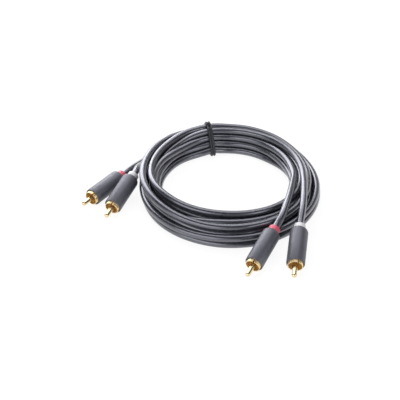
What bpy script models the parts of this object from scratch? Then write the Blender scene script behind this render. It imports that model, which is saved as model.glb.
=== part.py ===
"""Audio video cable: two slim audio strands wound into one flat coil, each strand ending in a phono plug
on the left and another at the front, with a twist tie round the back of the coil.

Metres, +Z up. The coil and the left red plug lie on Z = 0, and the origin is under the middle of the cable.
"""

from math import asin, ceil, cos, pi, radians, sin

import bmesh
import bpy
from mathutils import Vector
from mathutils.geometry import convex_hull_2d

# Clearance between neighbouring solids
GAP = 0.0003

# Strand
STRAND_DIAMETER = 0.0046

# Coil: a stack of strands turned round its centre. The corners are counted in strand diameters,
# outwards from the innermost strands and up from the ground.
COIL_CENTRE = (0.01761, 0.01355)
COIL_INNER_RADIUS = 0.043
STACK_BOTTOM = ((0.0, 0.5), (3.3, 0.5))
STACK_TOP = ((3.25, 1.35), (2.15, 2.8), (1.35, 2.8), (0.0, 2.1))
COIL_STEPS = 64
ARC_POINTS = 12

# Twist tie: two coated wires side by side, round the coil left of its back, ends twisted on top
TIE_AZIMUTH = radians(-12.8)
TIE_WIRE_RADIUS = 0.0008
TIE_WIRE_SPACING = 0.0018
TIE_WEB = 0.0006
TIE_TAIL_LENGTH = 0.0032
TIE_TAIL_TURNS = 1.0
TIE_TAIL_ROOT_ANGLE = radians(30)
TIE_TAIL_YAW = radians(10)
TIE_TAIL_PITCH = radians(3)
TIE_TAIL_STEPS = 14
TIE_ARC_POINTS = 9

# Moulded shell of a plug. Along a plug, z runs back from the shell's front face.
SHELL_RADIUS = 0.0057
SHELL_LENGTH = 0.0267
SHELL_FRONT_CHAMFER = 0.0003
SHELL_SHOULDER_DEPTH = 0.0028
SHELL_REAR_FACE_RADIUS = 0.0038
SHELL_CAVITY_RADIUS = 0.0042
SHELL_REAR_WALL = 0.0052
SHELL_STEPS = 30

# Ground collar: a slotted cup seated in the shell's front bore
COLLAR_RADIUS = 0.0047
COLLAR_WALL = 0.00055
COLLAR_REACH = 0.0018
COLLAR_SEAT = 0.0065
COLLAR_BASE = 0.0012
COLLAR_LIP = 0.0002
SLOT_WIDTH = 0.0008
SLOT_LENGTH = 0.0042
SLOT_ANGLES = (radians(45), radians(135))
COLLAR_STEPS = 32

# Insulator: a flanged bush through the collar's base
INSULATOR_FLANGE = 0.0008
INSULATOR_NECK_RADIUS = 0.0030
INSULATOR_NECK = 0.0023
INSULATOR_STEPS = 20

# Centre pin, with a stop shoulder and a solder cup behind the insulator
PIN_RADIUS = 0.0016
PIN_REACH = 0.0080
PIN_NOSE = 0.0014
PIN_SHOULDER_RADIUS = 0.0024
PIN_SHOULDER = 0.0010
SOLDER_CUP_RADIUS = 0.0013
SOLDER_CUP_BORE = 0.0009
SOLDER_CUP_LENGTH = 0.0034
SOLDER_CUP_DEPTH = 0.0024
PIN_STEPS = 20

# Colour ring behind the shell, with a spigot in the shell's rear bore
RING_RADIUS = 0.0037
RING_LENGTH = 0.0033
RING_EDGE = 0.0004
RING_SPIGOT_RADIUS = 0.0032
RING_SPIGOT = 0.0042
RING_STEPS = 24

# Lead: a plain tube from the solder cup to the coil
LEAD_POINT_SPACING = 0.0105
LEAD_BEVEL_RESOLUTION = 3
STRAIGHT_BEHIND_RING = 0.0015

# Plugs: colour, front centre on the ground plan, heading from straight forward, nose-down pitch, and
# roll of the collar's slots
PLUGS = {
    "left_red": ("red", (-0.07156, -0.00065), radians(-36.7), radians(0.0), radians(-20)),
    "left_white": ("white", (-0.05771, -0.01023), radians(-24.1), radians(9.4), radians(-35)),
    "right_red": ("red", (0.03107, -0.06529), radians(-28.1), radians(10.8), radians(55)),
    "right_white": ("white", (0.05608, -0.06531), radians(-9.3), radians(10.1), radians(67)),
}

# Free stretch of each lead, from behind its plug to inside the coil
LEAD_ROUTES = {
    "left_red": (
        (-0.0472, 0.0343, 0.0044),
        (-0.0426, 0.0414, 0.0030),
        (-0.0349, 0.0517, 0.0024),
        (-0.0254, 0.0590, 0.0024),
        (-0.0126, 0.0619, 0.0024),
    ),
    "left_white": (
        (-0.0434, 0.0259, 0.0100),
        (-0.0416, 0.0340, 0.0064),
        (-0.0366, 0.0408, 0.0040),
        (-0.0289, 0.0482, 0.0026),
        (-0.0179, 0.0537, 0.0024),
    ),
    "right_red": (
        (0.0495, -0.0318, 0.0140),
        (0.0520, -0.0244, 0.0146),
        (0.0541, -0.0174, 0.0120),
    ),
    "right_white": (
        (0.0632, -0.0236, 0.0140),
        (0.0648, -0.0144, 0.0140),
        (0.0656, -0.0063, 0.0120),
    ),
}

MATERIALS = {
    "cord": ((0.032, 0.034, 0.044), 0.35, 0.0),
    "shell": ((0.085, 0.088, 0.101), 0.50, 0.0),
    "red": ((0.75, 0.060, 0.110), 0.40, 0.0),
    "white": ((0.85, 0.85, 0.86), 0.40, 0.0),
    "gold": ((0.95, 0.62, 0.25), 0.22, 1.0),
    "insulator": ((0.66, 0.40, 0.13), 0.50, 0.0),
    "tie": ((0.030, 0.032, 0.036), 0.45, 0.0),
}


for old in list(bpy.data.objects):
    bpy.data.objects.remove(old, do_unlink=True)

parts = bpy.data.collections.new("audio_video_cable")
cutters = bpy.data.collections.new("cutters")
for collection in (parts, cutters):
    bpy.context.scene.collection.children.link(collection)


def make_material(name):
    """A Principled material from its row above"""
    colour, roughness, metallic = MATERIALS[name]
    material = bpy.data.materials.new(name)
    material.use_nodes = True
    shader = material.node_tree.nodes["Principled BSDF"]
    shader.inputs["Base Color"].default_value = (*colour, 1.0)
    shader.inputs["Roughness"].default_value = roughness
    shader.inputs["Metallic"].default_value = metallic
    return material


materials = {name: make_material(name) for name in MATERIALS}


def add_object(name, data, collection, parent=None):
    """A new object in a collection, under an optional parent"""
    obj = bpy.data.objects.new(name, data)
    collection.objects.link(obj)
    obj.parent = parent
    if collection is cutters:
        obj.hide_render = True
        obj.display_type = "WIRE"
    return obj


def add_empty(name, location, rotation=(0.0, 0.0, 0.0)):
    """A placing empty"""
    empty = bpy.data.objects.new(name, None)
    parts.objects.link(empty)
    empty.location = location
    empty.rotation_euler = rotation
    return empty


def baked_mesh(obj, weld=0.0):
    """The evaluated mesh of an object, which is then removed"""
    bpy.context.view_layer.update()
    mesh = bpy.data.meshes.new_from_object(obj.evaluated_get(bpy.context.evaluated_depsgraph_get()))
    if weld:
        work = bmesh.new()
        work.from_mesh(mesh)
        bmesh.ops.remove_doubles(work, verts=work.verts, dist=weld)
        bmesh.ops.recalc_face_normals(work, faces=work.faces)
        work.to_mesh(mesh)
        work.free()
    bpy.data.objects.remove(obj, do_unlink=True)
    return mesh


def clockwise(points):
    """The closed outline in the order that runs down its outer side"""
    area = sum(a[0] * b[1] - b[0] * a[1] for a, b in zip(points, points[1:] + points[:1]))
    return points if area < 0 else points[::-1]


def turned(name, points, steps, closed=True):
    """A mesh turned round Z from an outline of (radius, height), open only where it ends on the axis"""
    profile = bpy.data.meshes.new(name)
    count = len(points)
    edges = [(i, (i + 1) % count) for i in range(count if closed else count - 1)]
    profile.from_pydata([(radius, 0.0, height) for radius, height in points], edges, [])
    obj = add_object(name, profile, cutters)
    screw = obj.modifiers.new("Turn", "SCREW")
    screw.steps = steps
    screw.render_steps = steps
    screw.use_merge_vertices = True
    screw.merge_threshold = 0.00001
    mesh = baked_mesh(obj)
    mesh.name = name
    mesh.shade_smooth()
    mesh.set_sharp_from_angle(angle=radians(35))
    return mesh


def cut(obj, cutter):
    """Takes a cutter away from an object"""
    boolean = obj.modifiers.new("Cut " + cutter.name, "BOOLEAN")
    boolean.operation = "DIFFERENCE"
    boolean.solver = "EXACT"
    boolean.object = cutter


def arc(centre, radius, start, end, count):
    """Points on a circular arc, its angles counted from +X towards +Z"""
    angles = [start + (end - start) * i / (count - 1) for i in range(count)]
    return [(centre[0] + radius * cos(a), centre[1] + radius * sin(a)) for a in angles]


def stack_outline(grow, lift):
    """The outline of the stacked strands, grown all round, with its bottom corners lifted"""
    radius = STRAND_DIAMETER / 2 + grow
    points = []
    for corners, raised in ((STACK_BOTTOM, lift), (STACK_TOP, 0.0)):
        for out, up in corners:
            centre = (COIL_INNER_RADIUS + out * STRAND_DIAMETER, up * STRAND_DIAMETER + raised)
            points += arc(centre, radius, -pi / 2, 3 * pi / 2 - 2 * pi / ARC_POINTS, ARC_POINTS)
    return clockwise([points[i] for i in convex_hull_2d(points)])


# Plug profiles
collar_bore = COLLAR_RADIUS - COLLAR_WALL
front_bore = COLLAR_RADIUS + GAP
front_bore_depth = COLLAR_SEAT + GAP
rear_bore = RING_SPIGOT_RADIUS + GAP
cord_bore = STRAND_DIAMETER / 2 + GAP
ring_front = SHELL_LENGTH + GAP
ring_rear = ring_front + RING_LENGTH
collar_base_front = COLLAR_SEAT - COLLAR_BASE
flange_rear = collar_base_front - GAP
neck_rear = flange_rear + INSULATOR_NECK
shoulder_front = neck_rear + GAP
shoulder_rear = shoulder_front + PIN_SHOULDER
cup_rear = shoulder_rear + SOLDER_CUP_LENGTH
lead_start = cup_rear + GAP


def shell_outside(grow):
    """The shell's outer side from the rear face to the front face"""
    rise = SHELL_RADIUS - SHELL_REAR_FACE_RADIUS
    points = []
    for i in range(7):
        angle = pi / 2 * i / 6
        points.append((
            SHELL_REAR_FACE_RADIUS + grow + rise * sin(angle),
            SHELL_LENGTH + grow - SHELL_SHOULDER_DEPTH * (1 - cos(angle)),
        ))
    points.append((SHELL_RADIUS + grow, SHELL_FRONT_CHAMFER - grow))
    points.append((SHELL_RADIUS + grow - SHELL_FRONT_CHAMFER, -grow))
    return points


def shell_mesh():
    """The moulded shell, open at both ends"""
    inside = [
        (front_bore, 0.0),
        (front_bore, front_bore_depth),
        (SHELL_CAVITY_RADIUS, front_bore_depth),
        (SHELL_CAVITY_RADIUS, SHELL_LENGTH - SHELL_REAR_WALL),
        (rear_bore, SHELL_LENGTH - SHELL_REAR_WALL),
        (rear_bore, SHELL_LENGTH),
    ]
    return turned("shell", clockwise(shell_outside(0.0) + inside), SHELL_STEPS)


def ring_mesh():
    """The colour ring and its spigot"""
    points = [
        (cord_bore, ring_rear),
        (RING_RADIUS - RING_EDGE, ring_rear),
        (RING_RADIUS, ring_rear - RING_EDGE),
        (RING_RADIUS, ring_front),
        (RING_SPIGOT_RADIUS, ring_front),
        (RING_SPIGOT_RADIUS, ring_front - RING_SPIGOT),
        (cord_bore, ring_front - RING_SPIGOT),
    ]
    return turned("colour_ring", clockwise(points), RING_STEPS)


def collar_mesh():
    """The collar as a cup with a pierced base and slots down from its lip"""
    points = [
        (INSULATOR_NECK_RADIUS + GAP, COLLAR_SEAT),
        (COLLAR_RADIUS, COLLAR_SEAT),
        (COLLAR_RADIUS, -COLLAR_REACH + COLLAR_LIP),
        (COLLAR_RADIUS - COLLAR_LIP, -COLLAR_REACH),
        (collar_bore, -COLLAR_REACH),
        (collar_bore, collar_base_front),
        (INSULATOR_NECK_RADIUS + GAP, collar_base_front),
    ]
    collar = add_object("collar_pattern", turned("collar_cup", clockwise(points), COLLAR_STEPS), cutters)
    for number, angle in enumerate(SLOT_ANGLES):
        bpy.ops.mesh.primitive_cube_add(size=1.0)
        slot = bpy.context.object
        slot.name = f"slot_cutter_{number}"
        slot.scale = (3 * COLLAR_RADIUS, SLOT_WIDTH, 2 * SLOT_LENGTH)
        slot.location = (0.0, 0.0, -COLLAR_REACH)
        slot.rotation_euler = (0.0, 0.0, angle)
        cut(collar, slot)
    mesh = baked_mesh(collar)
    mesh.name = "ground_collar"
    for slot in [obj for obj in bpy.data.objects if obj.name.startswith("slot_cutter")]:
        bpy.data.objects.remove(slot, do_unlink=True)
    return mesh


def insulator_mesh():
    """The flange inside the cup and the neck through its base"""
    points = [
        (PIN_RADIUS + GAP, neck_rear),
        (INSULATOR_NECK_RADIUS, neck_rear),
        (INSULATOR_NECK_RADIUS, flange_rear),
        (collar_bore - GAP, flange_rear),
        (collar_bore - GAP, flange_rear - INSULATOR_FLANGE),
        (PIN_RADIUS + GAP, flange_rear - INSULATOR_FLANGE),
    ]
    return turned("insulator", clockwise(points), INSULATOR_STEPS)


def pin_mesh():
    """The centre pin from the floor of its solder cup round to its nose"""
    tip = -COLLAR_REACH - PIN_REACH
    points = [
        (0.0, cup_rear - SOLDER_CUP_DEPTH),
        (SOLDER_CUP_BORE, cup_rear - SOLDER_CUP_DEPTH),
        (SOLDER_CUP_BORE, cup_rear),
        (SOLDER_CUP_RADIUS, cup_rear),
        (SOLDER_CUP_RADIUS, shoulder_rear),
        (PIN_SHOULDER_RADIUS, shoulder_rear),
        (PIN_SHOULDER_RADIUS, shoulder_front),
        (PIN_RADIUS, shoulder_front),
    ]
    for i in range(5):
        angle = pi / 2 * i / 4
        points.append((PIN_RADIUS * cos(angle), tip + PIN_NOSE * (1 - sin(angle))))
    return turned("centre_pin", points, PIN_STEPS, closed=False)


def clearance_mesh():
    """The room that a plug's shell and ring take out of the coil"""
    points = shell_outside(GAP)
    points.insert(0, (RING_RADIUS + GAP, SHELL_LENGTH + GAP))
    points.insert(0, (RING_RADIUS + GAP, ring_rear + GAP))
    points.insert(0, (0.0, ring_rear + GAP))
    points.append((0.0, -GAP))
    return turned("plug_clearance", points, SHELL_STEPS, closed=False)


def place_plug(name, colour, front, heading, pitch, roll, meshes):
    """Places one plug by an empty at the middle of its shell's front face"""
    height = SHELL_RADIUS * cos(pitch)
    plug = add_empty(name, (*front, height), (pitch - pi / 2, 0.0, heading))
    for piece, (mesh, material) in meshes.items():
        obj = add_object(f"{name}_{piece}", mesh, parts, plug)
        obj.material_slots[0].link = "OBJECT"
        obj.material_slots[0].material = materials[material or colour]
        if piece == "ground_collar":
            obj.rotation_euler = (0.0, 0.0, roll)
    return plug


plug_meshes = {
    "shell": (shell_mesh(), "shell"),
    "colour_ring": (ring_mesh(), None),
    "ground_collar": (collar_mesh(), "gold"),
    "insulator": (insulator_mesh(), "insulator"),
    "centre_pin": (pin_mesh(), "gold"),
}
for mesh, _ in plug_meshes.values():
    mesh.materials.append(None)
plug_clearance = clearance_mesh()
plugs = {}
plug_cutters = []
for name, (colour, front, heading, pitch, roll) in PLUGS.items():
    plugs[name] = place_plug(name, colour, front, heading, pitch, roll, plug_meshes)
    plug_cutters.append(add_object(f"{name}_clearance", plug_clearance, cutters, plugs[name]))
bpy.context.view_layer.update()


def smooth_route(points):
    """Points at an even spacing on a smooth curve through the route"""
    padded = [points[0] * 2 - points[1], *points, points[-1] * 2 - points[-2]]
    route = []
    for before, start, end, after in zip(padded, padded[1:], padded[2:], padded[3:]):
        steps = max(1, ceil((end - start).length / LEAD_POINT_SPACING))
        for i in range(steps):
            t = i / steps
            route.append(0.5 * (
                2 * start
                + (end - before) * t
                + (2 * before - 5 * start + 4 * end - after) * t ** 2
                + (3 * start - before - 3 * end + after) * t ** 3
            ))
    return [*route, points[-1]]


def tube(name, points):
    """A round cord along the points, as a closed mesh"""
    curve = bpy.data.curves.new(name, "CURVE")
    curve.dimensions = "3D"
    curve.bevel_depth = STRAND_DIAMETER / 2
    curve.bevel_resolution = LEAD_BEVEL_RESOLUTION
    curve.use_fill_caps = True
    spline = curve.splines.new("POLY")
    spline.points.add(len(points) - 1)
    for slot, point in zip(spline.points, points):
        slot.co = (*point, 1.0)
    mesh = baked_mesh(add_object(name, curve, cutters), weld=0.00001)
    mesh.name = name
    mesh.shade_smooth()
    return mesh


# Coil and the clearance round it
coil_mesh = turned("cable_coil", stack_outline(0.0, 0.0), COIL_STEPS)
coil_mesh.materials.append(materials["cord"])
coil = add_object("cable_coil", coil_mesh, parts)
coil.location = (*COIL_CENTRE, 0.0)
coil_room = add_object("coil_clearance", turned("coil_clearance", stack_outline(GAP, 0.0), COIL_STEPS), cutters)
coil_room.location = coil.location
for cutter in plug_cutters:
    cut(coil, cutter)

# Leads
for name, plug in plugs.items():
    axis_stops = (lead_start, SHELL_LENGTH - SHELL_REAR_WALL, ring_rear, ring_rear + STRAIGHT_BEHIND_RING)
    axis_points = [plug.matrix_world @ Vector((0.0, 0.0, stop)) for stop in axis_stops]
    free_points = [Vector(point) for point in LEAD_ROUTES[name]]
    lead_mesh = tube(f"{name}_lead", smooth_route(axis_points + free_points))
    lead_mesh.materials.append(materials["cord"])
    lead = add_object(f"{name}_lead", lead_mesh, parts)
    cut(lead, coil_room)


# Twist tie
tie_lift = 2 * TIE_WIRE_RADIUS + GAP
tie_frame = add_empty("tie_plane", (*COIL_CENTRE, 0.0), (0.0, 0.0, pi / 2 - TIE_AZIMUTH))
tie_width = TIE_WIRE_SPACING + 2 * TIE_WIRE_RADIUS


def closed_curve(name, points, flat):
    """A closed straight-sided curve, flat in its own XY or standing in XZ"""
    curve = bpy.data.curves.new(name, "CURVE")
    curve.dimensions = "2D" if flat else "3D"
    spline = curve.splines.new("POLY")
    spline.points.add(len(points) - 1)
    for slot, (across, up) in zip(spline.points, points):
        slot.co = (across, up, 0.0, 1.0) if flat else (across, 0.0, up, 1.0)
    spline.use_cyclic_u = True
    return curve


def tie_section():
    """The outline of the two wires and the web between them"""
    turn = pi - asin(TIE_WEB / 2 / TIE_WIRE_RADIUS)
    right = arc((TIE_WIRE_SPACING / 2, 0.0), TIE_WIRE_RADIUS, -turn, turn, TIE_ARC_POINTS)
    return right + [(-x, -y) for x, y in right]


def tie_mesh(name, curve):
    """A mesh of the tie's section swept along a curve"""
    section = add_object("tie_section", closed_curve("tie_section", tie_section(), flat=True), cutters)
    curve.bevel_mode = "OBJECT"
    curve.bevel_object = section
    curve.use_fill_caps = True
    mesh = baked_mesh(add_object(name, curve, cutters), weld=0.00001)
    bpy.data.objects.remove(section, do_unlink=True)
    mesh.name = name
    return mesh


def tie_loop_mesh():
    """The closed loop round the stack"""
    outline = stack_outline(GAP + TIE_WIRE_RADIUS, tie_lift)
    return tie_mesh("twist_tie", closed_curve("twist_tie", outline, flat=False))


def tie_tail():
    """The twisted ends, standing out from the loop's outer shoulder"""
    curve = bpy.data.curves.new("tie_tail", "CURVE")
    curve.dimensions = "3D"
    spline = curve.splines.new("POLY")
    spline.points.add(TIE_TAIL_STEPS)
    for i, slot in enumerate(spline.points):
        slot.co = (TIE_TAIL_LENGTH * i / TIE_TAIL_STEPS, 0.0, 0.0, 1.0)
        slot.tilt = 2 * pi * TIE_TAIL_TURNS * i / TIE_TAIL_STEPS
    tail = add_object("tie_tail", tie_mesh("tie_tail", curve), cutters, tie_frame)
    out, up = STACK_TOP[1]
    reach = STRAND_DIAMETER / 2 + GAP + TIE_WIRE_RADIUS
    tail.location = (
        COIL_INNER_RADIUS + out * STRAND_DIAMETER + reach * cos(TIE_TAIL_ROOT_ANGLE),
        0.0,
        up * STRAND_DIAMETER + reach * sin(TIE_TAIL_ROOT_ANGLE),
    )
    tail.rotation_euler = (0.0, TIE_TAIL_PITCH, TIE_TAIL_YAW)
    return tail


def saddle_cutter():
    """The notch under the coil that the tie passes through"""
    corner = STRAND_DIAMETER / 2 + tie_lift
    lower = sorted(point for point in stack_outline(0.0, tie_lift) if point[1] <= corner)
    margin = STRAND_DIAMETER
    outline = lower + [
        (lower[-1][0] + margin, lower[-1][1]),
        (lower[-1][0] + margin, -margin),
        (lower[0][0] - margin, -margin),
        (lower[0][0] - margin, lower[0][1]),
    ]
    curve = closed_curve("saddle_cutter", outline, flat=True)
    curve.fill_mode = "BOTH"
    curve.extrude = tie_width / 2 + GAP
    mesh = baked_mesh(add_object("saddle_cutter", curve, cutters), weld=0.00001)
    cutter = add_object("saddle_cutter", mesh, cutters, tie_frame)
    cutter.rotation_euler = (pi / 2, 0.0, 0.0)
    return cutter


cut(coil, saddle_cutter())
loop_mesh = tie_loop_mesh()
loop_mesh.materials.append(materials["tie"])
tie = add_object("twist_tie", loop_mesh, parts, tie_frame)
twist = tie.modifiers.new("Join tail", "BOOLEAN")
twist.operation = "UNION"
twist.solver = "EXACT"
twist.object = tie_tail()
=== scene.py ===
"""Audio video cable, dressed: two strands wound and settled into one flat coil, a phono plug on each of their
four ends, and a twist tie round the back of the coil, on a white floor.

Metres, +Z up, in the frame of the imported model.
"""

from math import asin, cos, pi, radians, sin

import bpy
import numpy as np
from mathutils import Euler, Matrix, Vector
from mathutils.geometry import convex_hull_2d


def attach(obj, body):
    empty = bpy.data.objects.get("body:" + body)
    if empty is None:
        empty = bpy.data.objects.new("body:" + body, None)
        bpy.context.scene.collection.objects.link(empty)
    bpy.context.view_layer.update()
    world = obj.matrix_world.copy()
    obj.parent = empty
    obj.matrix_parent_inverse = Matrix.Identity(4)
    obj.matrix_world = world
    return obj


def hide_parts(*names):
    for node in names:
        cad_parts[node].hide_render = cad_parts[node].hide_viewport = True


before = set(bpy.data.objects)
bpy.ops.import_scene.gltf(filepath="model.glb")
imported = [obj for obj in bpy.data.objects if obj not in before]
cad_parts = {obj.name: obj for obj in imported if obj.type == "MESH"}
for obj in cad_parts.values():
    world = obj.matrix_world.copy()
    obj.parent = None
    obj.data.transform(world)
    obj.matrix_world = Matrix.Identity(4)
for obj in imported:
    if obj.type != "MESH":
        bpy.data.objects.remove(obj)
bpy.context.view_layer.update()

# Camera at the photograph's angle, for a picture 400 pixels wide
CAMERA_TARGET = (-0.00119, 0.00345, 0.0)
CAMERA_ELEVATION = radians(38.5)
CAMERA_DISTANCE = 0.600
CAMERA_CLIP_START = 0.01
CAMERA_CLIP_END = 20.0
FOCAL_PIXELS = 905.0
PICTURE_PIXELS = 400.0
SENSOR_MM = 36.0

# Strands and coil
DIAMETER = 0.0046
COIL_CENTRE = np.array((0.01761, 0.01355))
COIL_INNER_RADIUS = 0.043
LANE_POINTS_PER_TURN = 48
STRAIGHT_POINTS = 8
DENSE_POINTS = 20
STRAND_STEP = 0.003
STRAND_BEVEL_RESOLUTION = 8

# Lanes of the coil at its back, right, front and left, in strand diameters:
# out from the inner wall, and up from the floor
BACK = {
    "P1": (3.2, 0.5), "P2": (2.25, 0.5), "h": (1.25, 0.5), "F": (0.25, 0.5),
    "e": (2.75, 1.37), "f": (1.75, 1.37), "E": (0.75, 1.37),
    "A": (3.02, 2.2), "d": (2.12, 2.23), "D": (1.2, 2.23),
    "B": (2.48, 2.96), "C": (1.6, 3.1),
}
RIGHT = {
    "F": (0.45, 0.5), "h": (1.45, 0.5), "e": (2.45, 0.5), "P1": (3.45, 0.5),
    "E": (0.25, 1.45), "f": (1.1, 1.37), "P2": (1.98, 1.37), "A": (3.4, 1.48),
    "D": (0.1, 2.85), "d": (1.1, 2.3), "B": (2.1, 2.3), "C": (1.35, 3.2),
}
FRONT = {
    "f": (3.12, 0.5), "h": (2.1, 0.5), "F": (1.0, 0.5), "E": (-0.1, 0.5),
    "e": (3.05, 1.48), "d": (2.1, 1.5), "D": (-0.55, 1.68),
    "A": (1.95, 2.45), "C": (0.35, 2.1), "B": (-0.8, 2.64),
}
LEFT = {
    "F": (0.75, 0.5), "h": (1.78, 0.5), "f": (2.8, 0.5),
    "E": (1.05, 1.46), "C": (2.0, 1.48), "e": (2.95, 1.48),
    "D": (1.42, 2.4), "d": (2.75, 2.42), "B": (1.78, 3.3), "A": (2.92, 3.25),
}

# Turns of each strand: its lane at the back and the right, then its lane at the front and the left
TURNS = {
    "red": (("P1", "f"), ("e", "h"), ("h", "F"), ("F", "E"), ("E", "D"), ("D", None)),
    "white": (("P2", "d"), ("d", "B"), ("B", "A"), ("A", "e"), ("f", "C"), ("C", None)),
}

# Free stretches behind the plugs: on the left into the coil, on the right over its top
LEFT_ROUTES = {
    "red": (
        (-0.0472, 0.0343, 0.0044),
        (-0.0426, 0.0414, 0.0030),
        (-0.0349, 0.0517, 0.0024),
        (-0.0254, 0.0590, 0.0024),
        (-0.0126, 0.0619, 0.0024),
    ),
    "white": (
        (-0.0434, 0.0259, 0.0100),
        (-0.0416, 0.0340, 0.0064),
        (-0.0366, 0.0408, 0.0040),
        (-0.0289, 0.0482, 0.0026),
        (-0.0179, 0.0537, 0.0024),
    ),
}
RIGHT_ROUTES = {
    "red": (
        (0.05998, 0.00694, 0.0140),
        (0.05600, -0.01153, 0.0160),
        (0.05301, -0.02173, 0.0160),
        (0.04942, -0.03178, 0.0145),
    ),
    "white": (
        (0.06679, 0.00496, 0.0155),
        (0.06498, -0.01296, 0.0155),
        (0.06335, -0.02358, 0.0145),
    ),
}

# Plugs: front centre on the ground plan, heading from straight forward, nose-down pitch, roll of the slots
PLUGS = {
    "left_red": ((-0.07156, -0.00065), radians(-36.7), radians(0.0), radians(-20)),
    "left_white": ((-0.05771, -0.01023), radians(-24.1), radians(9.4), radians(-35)),
    "right_red": ((0.03107, -0.06529), radians(-28.1), radians(10.8), radians(55)),
    "right_white": ((0.05608, -0.06531), radians(-9.3), radians(10.1), radians(67)),
}

# Plug sizes: radii, lengths, and places along the axis back from the shell's front face
SHELL_RADIUS = 0.0057
SHELL_LENGTH = 0.0267
SHELL_SHOULDER = 0.0028
SHELL_SHOULDER_LEAD = 0.004
SHELL_SHOULDER_STEPS = 12
SHELL_REAR_RADIUS = 0.0038
SHELL_REAR_BORE = 0.0035
SHELL_REAR_BORE_LENGTH = 0.0052
SHELL_CAVITY_RADIUS = 0.0042
SHELL_FRONT_BORE = 0.0050
SHELL_FRONT_EDGE = 0.0003
SHELL_BORE_DEPTH = 0.0068
SHELL_BORE_EDGE = 0.0001
SHELL_BORE_EDGE_DEPTH = 0.00015
COLLAR_RADIUS = 0.0047
COLLAR_WALL = 0.00055
COLLAR_REACH = 0.0018
COLLAR_SEAT = 0.0065
COLLAR_BASE = 0.0012
COLLAR_LIP = 0.0002
COLLAR_BASE_BORE = 0.0033
SLOT_WIDTH = 0.0008
SLOT_LENGTH = 0.0042
SLOT_ANGLES = (radians(45), radians(135))
PIN_RADIUS = 0.0016
PIN_TIP = -0.0098
PIN_NOSE = 0.0014
PIN_NOSE_STEPS = 12
PIN_SHOULDER_RADIUS = 0.0024
PIN_SHOULDER_FRONT = 0.0076
PIN_SHOULDER_REAR = 0.0086
CUP_RADIUS = 0.0013
CUP_BORE = 0.0009
CUP_REAR = 0.0120
CUP_DEPTH = 0.0024
RING_RADIUS = 0.0037
RING_FRONT = 0.0270
RING_FRONT_EDGE = 0.0001
RING_REAR = 0.0303
RING_EDGE = 0.0004
RING_EDGE_STEPS = 6
RING_SPIGOT_RADIUS = 0.0032
RING_SPIGOT_FRONT = 0.0228
RING_BORE = 0.0026
CORD_START = 0.0123
STRAIGHT_END = 0.0318
PLUG_STEPS = 96

# Share of a rounded edge's radius by which the middle of the rounding stands in from the corner
ROUND_MIDDLE = 0.3

# Creases that stay sharp under smooth shading: on turned pieces, and on the tie
SHARP_ANGLE = radians(35)
TIE_SHARP_ANGLE = radians(60)

# Twist tie: two coated wires side by side
TIE_AZIMUTH = radians(-13.8)
TIE_WIRE_RADIUS = 0.0008
TIE_WIRE_SPACING = 0.0018
TIE_WEB = 0.0006
TIE_SKIN = 0.0001
TIE_ARC_POINTS = 24
TIE_SHORTEST_STEP = 0.00001
TIE_TAIL_LENGTH = 0.0026
TIE_TAIL_TURNS = 0.75
TIE_TAIL_STEPS = 40
TIE_TAIL_YAW = radians(168)
TIE_TAIL_PITCH = radians(-12)
TIE_TAIL_ROOT_ANGLE = radians(112)
TIE_TAIL_LEAN = radians(40)

# Ramp over which the strands climb onto the tie under the coil, as angles to each side of the tie
TIE_RAMP_START = radians(10.0)
TIE_RAMP_WIDTH = radians(7.8)

# Room that a plug keeps free of strands, where it isn't the outline of the shell and the ring
ROOM_AHEAD = 0.0005
ROOM_SHOULDER_BACK = 0.0010
ROOM_SHOULDER_RADIUS = 0.0050

# Settling of the strands: numbers of rounds, reaches along and between strands, and how much one round moves
SETTLE_ROUNDS = 150
LOOSE_ROUNDS = 45
REFRESH_ROUNDS = 10
CONTACT_DIAMETERS = 2
OWN_REACH_DIAMETERS = 2.5
OWN_PLUG_REACH = 0.045
OUT_OF_REACH = 10 ** 6
SHORTEST_DISTANCE = 0.000001
PUSH = 1.0
PLUG_PUSH = 0.5
SMOOTH = 0.15
KEEP = 0.02
SINK = 0.00001

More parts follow.
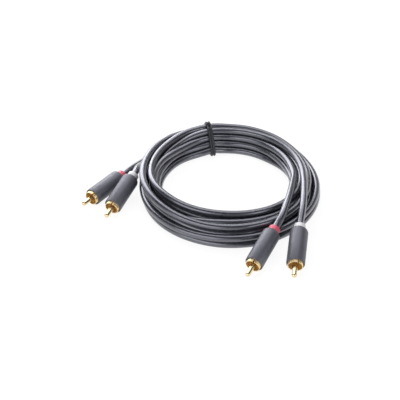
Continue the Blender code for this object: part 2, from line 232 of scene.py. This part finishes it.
# Looks: tones as pattern scale, dark and light; roughness as pattern scale, low and high;
# grain as pattern scale, detail, strength and depth; and the values that are constant
LOOKS = {
    # Satin dark slate jacket under a clear skin
    "cord": {
        "name": "cord_jacket",
        "tones": (90.0, (0.026, 0.027, 0.034), (0.034, 0.036, 0.044)),
        "roughness": (160.0, 0.24, 0.34),
        "grain": (1500.0, 3.0, 0.08, 0.00006),
        "values": {
            "IOR": 1.6,
            "Specular IOR Level": 1.0,
            "Specular Tint": (0.82, 0.84, 1.0, 1.0),
            "Coat Weight": 1.0,
            "Coat IOR": 1.6,
            "Coat Roughness": 0.28,
        },
    },
    # Matte dark grey moulding with a fine spark-eroded grain
    "shell": {
        "name": "shell_moulding",
        "tones": (140.0, (0.076, 0.079, 0.091), (0.088, 0.091, 0.104)),
        "roughness": (400.0, 0.44, 0.54),
        "grain": (4200.0, 4.0, 0.35, 0.00004),
        "values": {
            "IOR": 1.6,
            "Specular IOR Level": 1.0,
            "Specular Tint": (0.88, 0.89, 1.0, 1.0),
        },
    },
    # Satin coloured plastic
    "red_ring": {
        "name": "red_band",
        "tones": (220.0, (0.88, 0.12, 0.19), (0.94, 0.155, 0.235)),
        "roughness": (500.0, 0.34, 0.44),
        "grain": (3800.0, 3.0, 0.2, 0.00003),
    },
    "white_ring": {
        "name": "white_band",
        "tones": (220.0, (0.90, 0.90, 0.91), (0.95, 0.95, 0.96)),
        "roughness": (500.0, 0.34, 0.44),
        "grain": (3800.0, 3.0, 0.2, 0.00003),
    },
    # Satin gold plating of a collar
    "gold": {
        "name": "gold_plate",
        "tones": (300.0, (0.96, 0.75, 0.40), (1.0, 0.81, 0.48)),
        "roughness": (500.0, 0.28, 0.36),
        "values": {"Metallic": 0.72},
    },
    # Bright pale gold plating of a centre pin
    "pin": {
        "name": "pin_plate",
        "tones": (300.0, (0.80, 0.67, 0.40), (0.87, 0.75, 0.49)),
        "roughness": (500.0, 0.22, 0.30),
        "values": {"Metallic": 1.0},
    },
    # Matte amber plastic
    "insulator": {
        "name": "insulator_plastic",
        "tones": (260.0, (0.68, 0.36, 0.06), (0.76, 0.42, 0.09)),
        "grain": (3000.0, 3.0, 0.2, 0.00003),
        "values": {"Roughness": 0.5},
    },
    # Black coated wire
    "tie": {
        "name": "tie_coating",
        "tones": (500.0, (0.024, 0.026, 0.030), (0.042, 0.044, 0.050)),
        "roughness": (900.0, 0.34, 0.50),
        "grain": (2600.0, 3.0, 0.3, 0.00004),
    },
}
TONE_DETAIL = 2.0
ROUGHNESS_DETAIL = 3.0

# Part of a noise pattern's range over which tones and roughness run from one end to the other
PATTERN_LOW = 0.3
PATTERN_HIGH = 0.7

# Sky: its own light, and the heights between which the white backdrop fades out, as the sine of the elevation
WHITE = (1.0, 1.0, 1.0, 1.0)
AMBIENT_COLOUR = (0.93, 0.95, 1.0, 1.0)
AMBIENT_STRENGTH = 0.04
BACKDROP_FULL = 0.10
BACKDROP_TOP = 0.40

# Floor: its grey for bounced light, its grey under the camera's eye, and the glow added to that,
# which rises to white between two distances from the object
FLOOR_SIZE = 16.0
FLOOR_BOUNCE = (0.8, 0.8, 0.8, 1.0)
FLOOR_SHADE = (0.18, 0.18, 0.18, 1.0)
FLOOR_GLOW = 0.90
GLOW_NEAR = 0.2
GLOW_FAR = 0.9

# Soft rectangular lamps: azimuth clockwise from +Y, elevation, width, height, radiance
LAMPS = {
    "key": (radians(-29), radians(27), 0.75, 0.72, 4.3),
    "top": (radians(12), radians(62), 0.80, 0.80, 1.9),
    "front_left": (radians(-145), radians(30), 0.80, 0.60, 2.2),
    "front_right": (radians(135), radians(24), 0.50, 0.45, 2.4),
}
LAMP_DISTANCE = 0.9
LAMP_COLOUR = (0.97, 0.97, 1.0)


# Camera
bpy.context.scene.view_settings.view_transform = "Standard"
camera_data = bpy.data.cameras.new("camera")
camera_data.sensor_width = SENSOR_MM
camera_data.lens = FOCAL_PIXELS / PICTURE_PIXELS * SENSOR_MM
camera_data.clip_start = CAMERA_CLIP_START
camera_data.clip_end = CAMERA_CLIP_END
camera = bpy.data.objects.new("camera", camera_data)
camera.location = (
    CAMERA_TARGET[0],
    CAMERA_TARGET[1] - CAMERA_DISTANCE * cos(CAMERA_ELEVATION),
    CAMERA_TARGET[2] + CAMERA_DISTANCE * sin(CAMERA_ELEVATION),
)
camera.rotation_euler = (pi / 2 - CAMERA_ELEVATION, 0.0, 0.0)
bpy.context.scene.collection.objects.link(camera)
bpy.context.scene.camera = camera


def link(name, data):
    """A new object in the scene"""
    obj = bpy.data.objects.new(name, data)
    bpy.context.scene.collection.objects.link(obj)
    return obj


# Places of the plugs: local +Z runs back along the plug, local X to its right
plug_places = {}
for name, (front, heading, pitch, _) in PLUGS.items():
    height = SHELL_RADIUS * cos(pitch)
    turn = Euler((pitch - pi / 2, 0.0, heading)).to_matrix().to_4x4()
    plug_places[name] = Matrix.Translation((*front, height)) @ turn


def on_axis(plug, back):
    """The point on a plug's axis that far behind its shell's front face"""
    return np.array(plug_places[plug] @ Vector((0.0, 0.0, back)))


def hermite(stations, values, tangent, wanted):
    """A smooth curve through the values at their stations, with the given tangents there"""
    cell = np.clip(np.searchsorted(stations, wanted, side="right") - 1, 0, len(stations) - 2)
    width = stations[cell + 1] - stations[cell]
    t = (wanted - stations[cell]) / width
    return (
        values[..., cell] * (1 + 2 * t) * (1 - t) ** 2
        + tangent[..., cell] * width * t * (1 - t) ** 2
        + values[..., cell + 1] * t ** 2 * (3 - 2 * t)
        + tangent[..., cell + 1] * width * t ** 2 * (t - 1)
    )


def monotone(stations, values, wanted):
    """A curve through the stations that nowhere overshoots them, level at its ends"""
    step = np.diff(stations)
    slope = np.diff(values) / step
    tangent = np.zeros_like(values)
    same = slope[:-1] * slope[1:] > 0
    before = slope[:-1][same]
    after = slope[1:][same]
    near = 2 * step[1:][same] + step[:-1][same]
    far = step[1:][same] + 2 * step[:-1][same]
    tangent[1:-1][same] = (near + far) / (near / before + far / after)
    return hermite(stations, values, tangent, wanted)


def run_along(points):
    """The distance along a line at each of its points"""
    return np.concatenate(([0.0], np.cumsum(np.linalg.norm(np.diff(points, axis=0), axis=1))))


def smooth_line(points, step):
    """Points at an even spacing on a smooth curve through the given points"""
    chord = run_along(points)
    tangent = np.gradient(points, chord, axis=0)
    wanted = np.linspace(0.0, chord[-1], DENSE_POINTS * len(points))
    dense = hermite(chord, points.T, tangent.T, wanted).T
    run = run_along(dense)
    even = np.linspace(0.0, run[-1], int(round(run[-1] / step)) + 1)
    return np.stack([np.interp(even, run, dense[:, axis]) for axis in range(3)], axis=1)


def coil_line(turns):
    """The wound part of a strand, through its lanes"""
    stations = []
    for number, (lane, next_lane) in enumerate(turns):
        stations.append((number, *BACK[lane]))
        stations.append((number + 0.25, *RIGHT[lane]))
        if next_lane:
            stations.append((number + 0.5, *FRONT[next_lane]))
            stations.append((number + 0.75, *LEFT[next_lane]))
    turn, out, up = np.array(stations).T
    count = int(round((turn[-1] - turn[0]) * LANE_POINTS_PER_TURN))
    t = np.linspace(turn[0], turn[-1], count + 1)
    radius = COIL_INNER_RADIUS + DIAMETER * monotone(turn, out, t)
    height = DIAMETER * monotone(turn, up, t)
    angle = 2 * pi * t
    x = COIL_CENTRE[0] + radius * np.sin(angle)
    y = COIL_CENTRE[1] + radius * np.cos(angle)
    return np.stack((x, y, height), axis=1)


def strand_line(colour):
    """A whole strand from the solder cup of its left plug to the solder cup of its right plug"""
    stops = np.linspace(CORD_START, STRAIGHT_END, STRAIGHT_POINTS)
    points = np.concatenate((
        [on_axis(f"left_{colour}", back) for back in stops],
        LEFT_ROUTES[colour],
        coil_line(TURNS[colour]),
        RIGHT_ROUTES[colour],
        [on_axis(f"right_{colour}", back) for back in stops[::-1]],
    ))
    return smooth_line(points, STRAND_STEP)


def floor_height(points):
    """The lowest height of a strand's centre: on the floor, or on the tie that runs under the coil"""
    across = points[:, :2] - COIL_CENTRE
    azimuth = np.arctan2(across[:, 0], across[:, 1])
    off = np.abs(azimuth - TIE_AZIMUTH)
    near = np.clip((TIE_RAMP_START - off) / TIE_RAMP_WIDTH, 0.0, 1.0)
    return DIAMETER / 2 + (2 * TIE_WIRE_RADIUS + TIE_SKIN) * near ** 2 * (3 - 2 * near)


def plug_room(back):
    """The distance that a strand's centre keeps from a plug's axis, by how far behind its front face it is"""
    stops_and_radii = (
        (-ROOM_AHEAD, 0.0),
        (0.0, SHELL_RADIUS),
        (SHELL_LENGTH - SHELL_SHOULDER, SHELL_RADIUS),
        (SHELL_LENGTH - ROOM_SHOULDER_BACK, ROOM_SHOULDER_RADIUS),
        (SHELL_LENGTH, SHELL_REAR_RADIUS),
        (RING_REAR, RING_RADIUS),
        (STRAIGHT_END, 0.0),
    )
    radius = np.interp(back, *zip(*stops_and_radii), left=0.0, right=0.0)
    return np.where(radius > 0.0, radius + DIAMETER / 2, 0.0)


def clear_plugs(points, from_end):
    """Moves points part of the way out of the plugs' room, apart from each plug's own stretch of cord"""
    own_plug_reach = int(np.ceil(OWN_PLUG_REACH / STRAND_STEP))
    for plug, place in plug_places.items():
        axis = np.array(place.col[2][:3])
        offset = points - np.array(place.translation)
        back = offset @ axis
        aside = offset - back[:, None] * axis
        reach = np.linalg.norm(aside, axis=1)
        short = plug_room(back) - reach
        pushed = (short > 0) & (from_end[plug] > own_plug_reach)
        points[pushed] += aside[pushed] * (short[pushed] / reach[pushed])[:, None] * PLUG_PUSH


def settle(strands):
    """Pushes the strands apart where they overlap, out of the plugs and off the floor, and lets them sink"""
    counts = [len(strand) for strand in strands]
    first = np.cumsum([0] + counts)
    points = np.concatenate(strands)
    home = points.copy()
    number = np.arange(len(points))
    owner = np.repeat(np.arange(len(strands)), counts)
    segment = np.concatenate([np.arange(first[i], first[i + 1] - 1) for i in range(len(strands))])
    own_reach = int(np.ceil(OWN_REACH_DIAMETERS * DIAMETER / STRAND_STEP))
    held_reach = int(np.ceil((STRAIGHT_END - CORD_START) / STRAND_STEP)) + 1
    from_end = {}
    for i, colour in enumerate(TURNS):
        from_end[f"left_{colour}"] = np.where(owner == i, number - first[i], OUT_OF_REACH)
        from_end[f"right_{colour}"] = np.where(owner == i, first[i + 1] - 1 - number, OUT_OF_REACH)
    free = np.ones((len(points), 1))
    for reach in from_end.values():
        free[reach < held_reach] = 0.0
    own = (owner[:, None] == owner[segment][None]) & (np.abs(number[:, None] - segment[None]) <= own_reach)
    for turn in range(SETTLE_ROUNDS):
        if turn % REFRESH_ROUNDS == 0:
            middle = (points[segment] + points[segment + 1]) / 2
            distance = np.linalg.norm(points[:, None] - middle[None], axis=2)
            who, where = np.nonzero((distance < CONTACT_DIAMETERS * DIAMETER) & ~own)
            start = segment[where]
        along = points[start + 1] - points[start]
        share = ((points[who] - points[start]) * along).sum(axis=1) / (along ** 2).sum(axis=1)
        share = np.clip(share, 0.0, 1.0)[:, None]
        away = points[who] - points[start] - along * share
        distance = np.linalg.norm(away, axis=1)
        hit = distance < DIAMETER
        gap = np.maximum(distance[hit], SHORTEST_DISTANCE)
        force = away[hit] * ((DIAMETER - distance[hit]) / gap * PUSH / 2)[:, None]
        move = np.zeros_like(points)
        weight = np.zeros((len(points), 1))
        for target, part, amount in (
            (who[hit], 1.0, np.ones((hit.sum(), 1))),
            (start[hit], -1.0, 1 - share[hit]),
            (start[hit] + 1, -1.0, share[hit]),
        ):
            np.add.at(move, target, part * force * amount)
            np.add.at(weight, target, amount)
        points = points + free * move / np.maximum(weight, 1.0)
        clear_plugs(points, from_end)
        if turn >= SETTLE_ROUNDS - LOOSE_ROUNDS:
            points[:, 2] -= SINK * free[:, 0]
        else:
            points += (home - points) * KEEP * free
        shift = points - home
        for i in range(len(strands)):
            part = shift[first[i]:first[i + 1]]
            part[1:-1] += SMOOTH * ((part[:-2] + part[2:]) / 2 - part[1:-1])
        points = home + shift * free
        points[:, 2] = np.maximum(points[:, 2], floor_height(points))
    return [points[first[i]:first[i + 1]] for i in range(len(strands))]


strands = dict(zip(TURNS, settle([strand_line(colour) for colour in TURNS])))
strand_objects = {}
for colour, points in strands.items():
    curve = bpy.data.curves.new(f"{colour}_strand", "CURVE")
    curve.dimensions = "3D"
    curve.bevel_depth = DIAMETER / 2
    curve.bevel_resolution = STRAND_BEVEL_RESOLUTION
    curve.use_fill_caps = True
    spline = curve.splines.new("POLY")
    spline.points.add(len(points) - 1)
    for slot, point in zip(spline.points, points):
        slot.co = (*point, 1.0)
    spline.use_smooth = True
    strand_objects[colour] = link(f"{colour}_strand", curve)


def shade(mesh, sharp=SHARP_ANGLE):
    """Smooth shading with creases kept sharp"""
    mesh.shade_smooth()
    mesh.set_sharp_from_angle(angle=sharp)
    return mesh


def new_mesh(name, vertices, faces):
    """A mesh of the given corners and faces"""
    mesh = bpy.data.meshes.new(name)
    mesh.from_pydata([tuple(vertex) for vertex in vertices], [], faces)
    mesh.update()
    return mesh


def turned(name, outline, closed=True):
    """A mesh turned round Z from (radius, height) points, which run with the solid on their left"""
    vertices = []
    rings = []
    for radius, height in outline:
        if radius == 0.0:
            rings.append([len(vertices)] * PLUG_STEPS)
            vertices.append((0.0, 0.0, height))
            continue
        rings.append(list(range(len(vertices), len(vertices) + PLUG_STEPS)))
        for i in range(PLUG_STEPS):
            angle = 2 * pi * i / PLUG_STEPS
            vertices.append((radius * cos(angle), radius * sin(angle), height))
    faces = []
    pairs = list(zip(rings, rings[1:]))
    if closed:
        pairs.append((rings[-1], rings[0]))
    for lower, upper in pairs:
        for i in range(PLUG_STEPS):
            j = (i + 1) % PLUG_STEPS
            corners = [lower[i], lower[j], upper[j], upper[i]]
            faces.append([corner for k, corner in enumerate(corners) if corner not in corners[:k]])
    return shade(new_mesh(name, vertices, faces))


def quarter(steps):
    """The angles of a quarter turn, with both its ends"""
    return [pi / 2 * i / steps for i in range(steps + 1)]


def shell_mesh():
    """The moulded shell: round shoulder at the back, fine edge at the front, open at both ends"""
    edge_middle = SHELL_FRONT_EDGE * ROUND_MIDDLE
    rear_bore_front = SHELL_LENGTH - SHELL_REAR_BORE_LENGTH
    outline = [
        (SHELL_FRONT_BORE, SHELL_BORE_DEPTH),
        (SHELL_FRONT_BORE, SHELL_BORE_EDGE_DEPTH),
        (SHELL_FRONT_BORE + SHELL_BORE_EDGE, 0.0),
        (SHELL_RADIUS - SHELL_FRONT_EDGE, 0.0),
        (SHELL_RADIUS - edge_middle, edge_middle),
        (SHELL_RADIUS, SHELL_FRONT_EDGE),
        (SHELL_RADIUS, SHELL_LENGTH - SHELL_SHOULDER - SHELL_SHOULDER_LEAD),
    ]
    for angle in quarter(SHELL_SHOULDER_STEPS):
        outline.append((
            SHELL_REAR_RADIUS + (SHELL_RADIUS - SHELL_REAR_RADIUS) * cos(angle),
            SHELL_LENGTH - SHELL_SHOULDER * (1 - sin(angle)),
        ))
    outline += [
        (SHELL_REAR_BORE + SHELL_BORE_EDGE, SHELL_LENGTH),
        (SHELL_REAR_BORE, SHELL_LENGTH - SHELL_BORE_EDGE),
        (SHELL_REAR_BORE, rear_bore_front),
        (SHELL_CAVITY_RADIUS, rear_bore_front),
        (SHELL_CAVITY_RADIUS, SHELL_BORE_DEPTH),
    ]
    return turned("moulded_shell", outline)


def ring_mesh():
    """The colour ring with its rounded rear edge and its spigot"""
    outline = [
        (RING_BORE, RING_SPIGOT_FRONT),
        (RING_SPIGOT_RADIUS, RING_SPIGOT_FRONT),
        (RING_SPIGOT_RADIUS, RING_FRONT),
        (RING_RADIUS - RING_FRONT_EDGE, RING_FRONT),
        (RING_RADIUS, RING_FRONT + RING_FRONT_EDGE),
    ]
    for angle in quarter(RING_EDGE_STEPS):
        outline.append((RING_RADIUS - RING_EDGE * (1 - cos(angle)), RING_REAR - RING_EDGE * (1 - sin(angle))))
    outline.append((RING_BORE, RING_REAR))
    return turned("colour_band", outline)


def collar_mesh():
    """The slotted ground collar: a cup with a pierced base, its lip rounded"""
    bore = COLLAR_RADIUS - COLLAR_WALL
    front = -COLLAR_REACH
    outline = [
        (COLLAR_BASE_BORE, COLLAR_SEAT - COLLAR_BASE),
        (bore, COLLAR_SEAT - COLLAR_BASE),
        (bore, front + COLLAR_LIP / 2),
        (bore + COLLAR_LIP / 2, front),
        (COLLAR_RADIUS - COLLAR_LIP, front),
        (COLLAR_RADIUS - COLLAR_LIP * ROUND_MIDDLE, front + COLLAR_LIP * ROUND_MIDDLE),
        (COLLAR_RADIUS, front + COLLAR_LIP),
        (COLLAR_RADIUS, COLLAR_SEAT),
        (COLLAR_BASE_BORE, COLLAR_SEAT),
    ]
    cup = link("collar_pattern", turned("slotted_collar", outline))
    cutters = []
    for angle in SLOT_ANGLES:
        bpy.ops.mesh.primitive_cube_add(size=1.0)
        cutter = bpy.context.object
        cutter.scale = (3 * COLLAR_RADIUS, SLOT_WIDTH, 2 * SLOT_LENGTH)
        cutter.location = (0.0, 0.0, front)
        cutter.rotation_euler = (0.0, 0.0, angle)
        cut = cup.modifiers.new("Slot", "BOOLEAN")
        cut.operation = "DIFFERENCE"
        cut.solver = "EXACT"
        cut.object = cutter
        cutters.append(cutter)
    bpy.context.view_layer.update()
    mesh = bpy.data.meshes.new_from_object(cup.evaluated_get(bpy.context.evaluated_depsgraph_get()))
    for obj in (cup, *cutters):
        bpy.data.objects.remove(obj, do_unlink=True)
    return shade(mesh)


def pin_mesh():
    """The centre pin from its rounded nose to the solder cup"""
    outline = [
        (PIN_RADIUS * sin(angle), PIN_TIP + PIN_NOSE * (1 - cos(angle)))
        for angle in quarter(PIN_NOSE_STEPS)
    ]
    outline += [
        (PIN_RADIUS, PIN_SHOULDER_FRONT),
        (PIN_SHOULDER_RADIUS, PIN_SHOULDER_FRONT),
        (PIN_SHOULDER_RADIUS, PIN_SHOULDER_REAR),
        (CUP_RADIUS, PIN_SHOULDER_REAR),
        (CUP_RADIUS, CUP_REAR),
        (CUP_BORE, CUP_REAR),
        (CUP_BORE, CUP_REAR - CUP_DEPTH),
        (0.0, CUP_REAR - CUP_DEPTH),
    ]
    return turned("centre_pin", outline, closed=False)


# Plug pieces: mesh, CAD node that it stands for, material slot, and look
plug_patterns = {
    "moulded_shell": (shell_mesh(), "shell", "shell", "shell"),
    "colour_band": (ring_mesh(), "colour_ring", "{colour}_ring", "{colour}_ring"),
    "slotted_collar": (collar_mesh(), "ground_collar", "gold", "gold"),
    "contact_pin": (pin_mesh(), "centre_pin", "gold", "pin"),
}
plug_pieces = {}
for plug, place in plug_places.items():
    colour = plug.split("_")[1]
    roll = PLUGS[plug][-1]
    plug_pieces[plug] = []
    for piece, (mesh, node, slot, _) in plug_patterns.items():
        obj = link(f"{plug}_{piece}", mesh.copy())
        obj.matrix_world = place @ Matrix.Rotation(roll, 4, "Z")
        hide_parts(f"{plug}_{node}")
        plug_pieces[plug].append(obj)


def sweep(name, centres, aside, up, section, closed):
    """A mesh of a section carried along a line by two cross vectors at each of its points"""
    vertices = []
    for centre, x_axis, y_axis in zip(centres, aside, up):
        vertices += [centre + x_axis * x + y_axis * y for x, y in section]
    size = len(section)
    count = len(centres)
    faces = []
    for i in range(count if closed else count - 1):
        a = i * size
        b = (i + 1) % count * size
        for j in range(size):
            k = (j + 1) % size
            faces.append((a + j, a + k, b + k, b + j))
    if not closed:
        faces.append(tuple(range(size - 1, -1, -1)))
        faces.append(tuple(range((count - 1) * size, count * size)))
    return shade(new_mesh(name, vertices, faces), TIE_SHARP_ANGLE)


def tie_section():
    """The outline of the two coated wires and the web between them"""
    turn = pi - asin(TIE_WEB / 2 / TIE_WIRE_RADIUS)
    points = []
    for i in range(TIE_ARC_POINTS):
        angle = -turn + 2 * turn * i / (TIE_ARC_POINTS - 1)
        points.append((TIE_WIRE_SPACING / 2 + TIE_WIRE_RADIUS * cos(angle), TIE_WIRE_RADIUS * sin(angle)))
    return points + [(-x, -y) for x, y in points]


# Twist tie
tie_out = np.array((sin(TIE_AZIMUTH), cos(TIE_AZIMUTH), 0.0))
tie_side = np.array((cos(TIE_AZIMUTH), -sin(TIE_AZIMUTH), 0.0))
tie_up = np.array((0.0, 0.0, 1.0))
centre_3d = np.array((*COIL_CENTRE, 0.0))


def crossings(points):
    """Where a strand passes the tie's plane: distance out from the coil's centre, and height"""
    offset = points - centre_3d
    side = offset @ tie_side
    found = []
    for i in np.nonzero((side[:-1] * side[1:] <= 0) & (offset[:-1] @ tie_out > 0))[0]:
        share = side[i] / (side[i] - side[i + 1])
        at = offset[i] * (1 - share) + offset[i + 1] * share
        found.append((float(at @ tie_out), float(at[2])))
    return found


bundle = [crossing for points in strands.values() for crossing in crossings(points)]
grip = DIAMETER / 2 + TIE_WIRE_RADIUS + TIE_SKIN
around = []
for out, up in bundle:
    for i in range(2 * TIE_ARC_POINTS):
        angle = pi * i / TIE_ARC_POINTS
        around.append((out + grip * cos(angle), max(up + grip * sin(angle), TIE_WIRE_RADIUS)))
hull = np.array([around[i] for i in convex_hull_2d(around)])
hull_step = np.linalg.norm(np.roll(hull, -1, axis=0) - hull, axis=1)
hull = hull[hull_step > TIE_SHORTEST_STEP]
hull_tangent = np.roll(hull, -1, axis=0) - np.roll(hull, 1, axis=0)
hull_tangent /= np.linalg.norm(hull_tangent, axis=1)[:, None]
tie_line = centre_3d + hull[:, :1] * tie_out + hull[:, 1:] * tie_up
tie_normal = hull_tangent[:, 1:] * tie_out - hull_tangent[:, :1] * tie_up
tie_aside = np.repeat(tie_side[None], len(hull), axis=0)
loop_mesh = sweep("twist_tie_loop", tie_line, tie_aside, tie_normal, tie_section(), True)
tie_loop = link("twist_tie_loop", loop_mesh)

# Tail of the tie, on the strand that stands out farthest up and back
lean_out = sin(TIE_TAIL_LEAN)
lean_up = cos(TIE_TAIL_LEAN)
outer = max(bundle, key=lambda crossing: crossing[0] * lean_out + crossing[1] * lean_up)
tail_root = centre_3d + tie_out * (outer[0] + grip * cos(TIE_TAIL_ROOT_ANGLE))
tail_root = tail_root + tie_up * (outer[1] + grip * sin(TIE_TAIL_ROOT_ANGLE))
tail_flat = tie_out * cos(TIE_TAIL_YAW) - tie_side * sin(TIE_TAIL_YAW)
tail_way = tail_flat * cos(TIE_TAIL_PITCH) - tie_up * sin(TIE_TAIL_PITCH)
tail_x = np.cross(tail_way, tie_up)
tail_x /= np.linalg.norm(tail_x)
tail_y = np.cross(tail_way, tail_x)
tail_points = []
tail_aside = []
tail_normal = []
for i in range(TIE_TAIL_STEPS + 1):
    along = TIE_TAIL_LENGTH * i / TIE_TAIL_STEPS
    angle = 2 * pi * TIE_TAIL_TURNS * i / TIE_TAIL_STEPS
    tail_points.append(tail_root + tail_way * along)
    tail_aside.append(tail_x * cos(angle) + tail_y * sin(angle))
    tail_normal.append(tail_y * cos(angle) - tail_x * sin(angle))
tail_mesh = sweep("twist_tie_tail", tail_points, tail_aside, tail_normal, tie_section(), False)
tie_tail = link("twist_tie_tail", tail_mesh)
for obj in (tie_loop, tie_tail):
    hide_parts("twist_tie")


def noise(nodes, links, scale, detail):
    """A noise pattern in the object's own space"""
    place = nodes.new("ShaderNodeTexCoord")
    texture = nodes.new("ShaderNodeTexNoise")
    texture.inputs["Scale"].default_value = scale
    texture.inputs["Detail"].default_value = detail
    links.new(place.outputs["Object"], texture.inputs["Vector"])
    return texture.outputs["Fac"]


def tint(nodes, links, shader, scale, dark, light):
    """A base colour that runs between two tones"""
    ramp = nodes.new("ShaderNodeValToRGB")
    ramp.color_ramp.elements[0].position = PATTERN_LOW
    ramp.color_ramp.elements[0].color = (*dark, 1.0)
    ramp.color_ramp.elements[1].position = PATTERN_HIGH
    ramp.color_ramp.elements[1].color = (*light, 1.0)
    links.new(noise(nodes, links, scale, TONE_DETAIL), ramp.inputs["Fac"])
    links.new(ramp.outputs["Color"], shader.inputs["Base Color"])


def vary_roughness(nodes, links, shader, scale, low, high):
    """Roughness that runs between two values"""
    spread = nodes.new("ShaderNodeMapRange")
    spread.inputs["From Min"].default_value = PATTERN_LOW
    spread.inputs["From Max"].default_value = PATTERN_HIGH
    spread.inputs["To Min"].default_value = low
    spread.inputs["To Max"].default_value = high
    links.new(noise(nodes, links, scale, ROUGHNESS_DETAIL), spread.inputs["Value"])
    links.new(spread.outputs["Result"], shader.inputs["Roughness"])


def roughen(nodes, links, shader, scale, detail, strength, depth):
    """A fine grain as bump"""
    bump = nodes.new("ShaderNodeBump")
    bump.inputs["Strength"].default_value = strength
    bump.inputs["Distance"].default_value = depth
    links.new(noise(nodes, links, scale, detail), bump.inputs["Height"])
    links.new(bump.outputs["Normal"], shader.inputs["Normal"])


def look_material(look):
    """The material of a look"""
    material = bpy.data.materials.new(look["name"])
    material.use_nodes = True
    nodes = material.node_tree.nodes
    links = material.node_tree.links
    shader = nodes["Principled BSDF"]
    for socket, value in look.get("values", {}).items():
        shader.inputs[socket].default_value = value
    tint(nodes, links, shader, *look["tones"])
    if "roughness" in look:
        vary_roughness(nodes, links, shader, *look["roughness"])
    if "grain" in look:
        roughen(nodes, links, shader, *look["grain"])
    return material


materials = {key: look_material(look) for key, look in LOOKS.items()}


def dress(obj, look):
    """Gives all of an object's material slots the material of one look"""
    if not obj.data.materials:
        obj.data.materials.append(None)
    for slot in obj.material_slots:
        slot.material = materials[look]


for plug, pieces in plug_pieces.items():
    colour = plug.split("_")[1]
    for obj, (*_, look) in zip(pieces, plug_patterns.values()):
        dress(obj, look.format(colour=colour))
        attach(obj, "root")
    dress(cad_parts[f"{plug}_insulator"], "insulator")
for obj in (tie_loop, tie_tail):
    dress(obj, "tie")
    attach(obj, "root")

for colour, obj in strand_objects.items():
    dress(obj, "cord")
    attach(obj, "root")
    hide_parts("cable_coil", f"left_{colour}_lead", f"right_{colour}_lead")


def combine(nodes, links, operation, first, second):
    """Two values joined by a maths node"""
    node = nodes.new("ShaderNodeMath")
    node.operation = operation
    links.new(first, node.inputs[0])
    links.new(second, node.inputs[1])
    return node.outputs[0]


def mixed(nodes, links, share, first, second):
    """A shader that goes from the first to the second with the share"""
    mix = nodes.new("ShaderNodeMixShader")
    for output, socket in zip((share, first, second), mix.inputs):
        links.new(output, socket)
    return mix.outputs[0]


def ray_switch(nodes, links, part=None):
    """One where a camera ray looks, and for glossy and transmission rays one or a given part, else zero"""
    rays = nodes.new("ShaderNodeLightPath").outputs
    bounced = combine(nodes, links, "MAXIMUM", rays["Is Glossy Ray"], rays["Is Transmission Ray"])
    if part:
        bounced = combine(nodes, links, "MULTIPLY", bounced, part)
    return combine(nodes, links, "MAXIMUM", rays["Is Camera Ray"], bounced)


def low_in_sky(nodes, links):
    """One at the horizon, falling to zero where the white backdrop ends"""
    way = nodes.new("ShaderNodeTexCoord")
    split = nodes.new("ShaderNodeSeparateXYZ")
    fade = nodes.new("ShaderNodeMapRange")
    fade.inputs["From Min"].default_value = BACKDROP_TOP
    fade.inputs["From Max"].default_value = BACKDROP_FULL
    links.new(way.outputs["Generated"], split.inputs[0])
    links.new(split.outputs["Z"], fade.inputs["Value"])
    return fade.outputs["Result"]


def rising_glow(nodes, links):
    """A white glow that rises to full away from the object"""
    place = nodes.new("ShaderNodeTexCoord")
    reach = nodes.new("ShaderNodeVectorMath")
    reach.operation = "LENGTH"
    rise = nodes.new("ShaderNodeMapRange")
    rise.inputs["From Min"].default_value = GLOW_NEAR
    rise.inputs["From Max"].default_value = GLOW_FAR
    rise.inputs["To Min"].default_value = FLOOR_GLOW
    glow = nodes.new("ShaderNodeEmission")
    links.new(place.outputs["Object"], reach.inputs[0])
    links.new(reach.outputs["Value"], rise.inputs["Value"])
    links.new(rise.outputs["Result"], glow.inputs["Strength"])
    return glow.outputs[0]


# World: a dim sky with a white backdrop low in it, which only camera rays and reflections see
world = bpy.data.worlds.new("studio")
world.use_nodes = True
bpy.context.scene.world = world
nodes = world.node_tree.nodes
links = world.node_tree.links
ambient = nodes["Background"]
ambient.inputs["Color"].default_value = AMBIENT_COLOUR
ambient.inputs["Strength"].default_value = AMBIENT_STRENGTH
backdrop = nodes.new("ShaderNodeBackground")
backdrop.inputs["Color"].default_value = WHITE
switch = ray_switch(nodes, links, low_in_sky(nodes, links))
sky = mixed(nodes, links, switch, ambient.outputs[0], backdrop.outputs[0])
links.new(sky, nodes["World Output"].inputs["Surface"])

# Floor: white to the camera and in reflections, with a faint shadow, and light grey to bounced light
floor_material = bpy.data.materials.new("white_floor")
floor_material.use_nodes = True
nodes = floor_material.node_tree.nodes
links = floor_material.node_tree.links
nodes.remove(nodes["Principled BSDF"])
bounce = nodes.new("ShaderNodeBsdfDiffuse")
bounce.inputs["Color"].default_value = FLOOR_BOUNCE
shaded = nodes.new("ShaderNodeBsdfDiffuse")
shaded.inputs["Color"].default_value = FLOOR_SHADE
seen = nodes.new("ShaderNodeAddShader")
links.new(shaded.outputs[0], seen.inputs[0])
links.new(rising_glow(nodes, links), seen.inputs[1])
surface = mixed(nodes, links, ray_switch(nodes, links), bounce.outputs[0], seen.outputs[0])
links.new(surface, nodes["Material Output"].inputs["Surface"])

half = FLOOR_SIZE / 2
corners = [(-half, -half, 0.0), (half, -half, 0.0), (half, half, 0.0), (-half, half, 0.0)]
floor = link("floor", shade(new_mesh("floor", corners, [(0, 1, 2, 3)])))
floor.data.materials.append(floor_material)

# Lamps, all aimed at the coil
for name, (azimuth, elevation, width, height, radiance) in LAMPS.items():
    data = bpy.data.lights.new(name, "AREA")
    data.shape = "RECTANGLE"
    data.size = width
    data.size_y = height
    data.energy = radiance * pi * width * height
    data.color = LAMP_COLOUR
    way = Vector((sin(azimuth) * cos(elevation), cos(azimuth) * cos(elevation), sin(elevation)))
    lamp = link(name, data)
    lamp.location = way * LAMP_DISTANCE
    lamp.rotation_euler = (-way).to_track_quat("-Z", "Y").to_euler()
